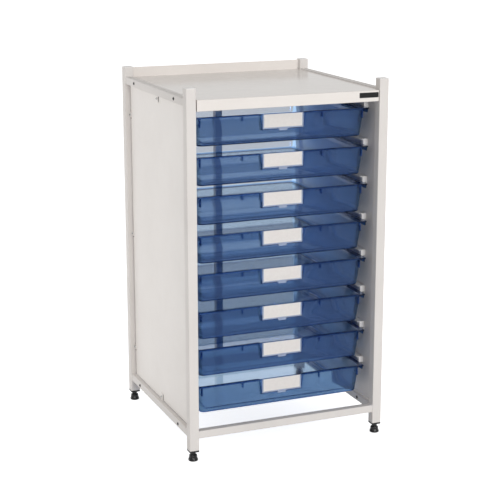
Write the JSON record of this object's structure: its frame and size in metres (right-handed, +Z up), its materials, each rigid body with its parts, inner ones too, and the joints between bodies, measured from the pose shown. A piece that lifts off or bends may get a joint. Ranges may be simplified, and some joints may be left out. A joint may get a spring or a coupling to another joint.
{
  "type": "tray storage unit",
  "caption": "Upright storage unit of square steel tube with a folded top, side panels and shallow translucent trays that slide out on channel runners, on levelling feet.",
  "frame": {"origin": "on the floor at the middle of the footprint", "axes": "+Z up, +X to the right seen from the front, front faces -Y"},
  "size_m": [0.54, 0.508, 0.945],
  "materials": {
    "coated_steel": "warm white powder coat, semi-matt",
    "top_steel": "warm white powder coat on folded sheet, semi-matt",
    "panel_steel": "warm white powder coat on thin sheet, semi-matt",
    "runner_steel": "white coated folded sheet",
    "white_plastic": "white moulded plastic",
    "black_plastic": "black moulded plastic",
    "foot_plastic": "glossy black moulded plastic",
    "blue_plastic": "clear blue tinted moulded plastic",
    "label_card": "plain white card",
    "dark_plate": "plain dark plate, bare"
  },
  "bodies": {
    "frame": {"post_front_left": "coated_steel", "post_cap_front_left": "white_plastic", "foot_insert_front_left": "black_plastic", "post_front_right": "coated_steel", "post_cap_front_right": "white_plastic", "foot_insert_front_right": "black_plastic", "post_back_left": "coated_steel", "post_cap_back_left": "white_plastic", "foot_insert_back_left": "black_plastic", "post_back_right": "coated_steel", "post_cap_back_right": "white_plastic", "foot_insert_back_right": "black_plastic", "upper_side_rail_left": "coated_steel", "lower_side_rail_left": "coated_steel", "upper_side_rail_right": "coated_steel", "lower_side_rail_right": "coated_steel", "lower_front_rail": "coated_steel", "lower_back_rail": "coated_steel", "upper_back_rail": "coated_steel", "back_strut": "coated_steel", "top_pan": "top_steel", "fascia_plate": "dark_plate", "side_panel_left": "panel_steel", "side_panel_right": "panel_steel", "runner_left_1": "runner_steel", "runner_right_1": "runner_steel", "runner_left_2": "runner_steel", "runner_right_2": "runner_steel", "runner_left_3": "runner_steel", "runner_right_3": "runner_steel", "runner_left_4": "runner_steel", "runner_right_4": "runner_steel", "runner_left_5": "runner_steel", "runner_right_5": "runner_steel", "runner_left_6": "runner_steel", "runner_right_6": "runner_steel", "runner_left_7": "runner_steel", "runner_right_7": "runner_steel", "runner_left_8": "runner_steel", "runner_right_8": "runner_steel"},
    "tray_body_1": {"tray_1": "blue_plastic", "label_card_1": "label_card"},
    "tray_body_2": {"tray_2": "blue_plastic", "label_card_2": "label_card"},
    "tray_body_3": {"tray_3": "blue_plastic", "label_card_3": "label_card"},
    "tray_body_4": {"tray_4": "blue_plastic", "label_card_4": "label_card"},
    "tray_body_5": {"tray_5": "blue_plastic", "label_card_5": "label_card"},
    "tray_body_6": {"tray_6": "blue_plastic", "label_card_6": "label_card"},
    "tray_body_7": {"tray_7": "blue_plastic", "label_card_7": "label_card"},
    "tray_body_8": {"tray_8": "blue_plastic", "label_card_8": "label_card"},
    "foot_front_left": {"levelling_foot_front_left": "foot_plastic"},
    "foot_front_right": {"levelling_foot_front_right": "foot_plastic"},
    "foot_back_left": {"levelling_foot_back_left": "foot_plastic"},
    "foot_back_right": {"levelling_foot_back_right": "foot_plastic"}
  },
  "joints": [
    {"name": "tray_slide_1", "type": "slide", "parent": "frame", "child": "tray_body_1", "axis": [0, -1, 0], "range_m": [0, 0.3]},
    {"name": "tray_slide_2", "type": "slide", "parent": "frame", "child": "tray_body_2", "axis": [0, -1, 0], "range_m": [0, 0.3]},
    {"name": "tray_slide_3", "type": "slide", "parent": "frame", "child": "tray_body_3", "axis": [0, -1, 0], "range_m": [0, 0.3]},
    {"name": "tray_slide_4", "type": "slide", "parent": "frame", "child": "tray_body_4", "axis": [0, -1, 0], "range_m": [0, 0.3]},
    {"name": "tray_slide_5", "type": "slide", "parent": "frame", "child": "tray_body_5", "axis": [0, -1, 0], "range_m": [0, 0.3]},
    {"name": "tray_slide_6", "type": "slide", "parent": "frame", "child": "tray_body_6", "axis": [0, -1, 0], "range_m": [0, 0.3]},
    {"name": "tray_slide_7", "type": "slide", "parent": "frame", "child": "tray_body_7", "axis": [0, -1, 0], "range_m": [0, 0.3]},
    {"name": "tray_slide_8", "type": "slide", "parent": "frame", "child": "tray_body_8", "axis": [0, -1, 0], "range_m": [0, 0.3]},
    {"name": "foot_thread_front_left", "type": "slide", "parent": "frame", "child": "foot_front_left", "axis": [0, 0, -1], "range_m": [0, 0.012]},
    {"name": "foot_thread_front_right", "type": "slide", "parent": "frame", "child": "foot_front_right", "axis": [0, 0, -1], "range_m": [0, 0.012]},
    {"name": "foot_thread_back_left", "type": "slide", "parent": "frame", "child": "foot_back_left", "axis": [0, 0, -1], "range_m": [0, 0.012]},
    {"name": "foot_thread_back_right", "type": "slide", "parent": "frame", "child": "foot_back_right", "axis": [0, 0, -1], "range_m": [0, 0.012]}
  ]
}
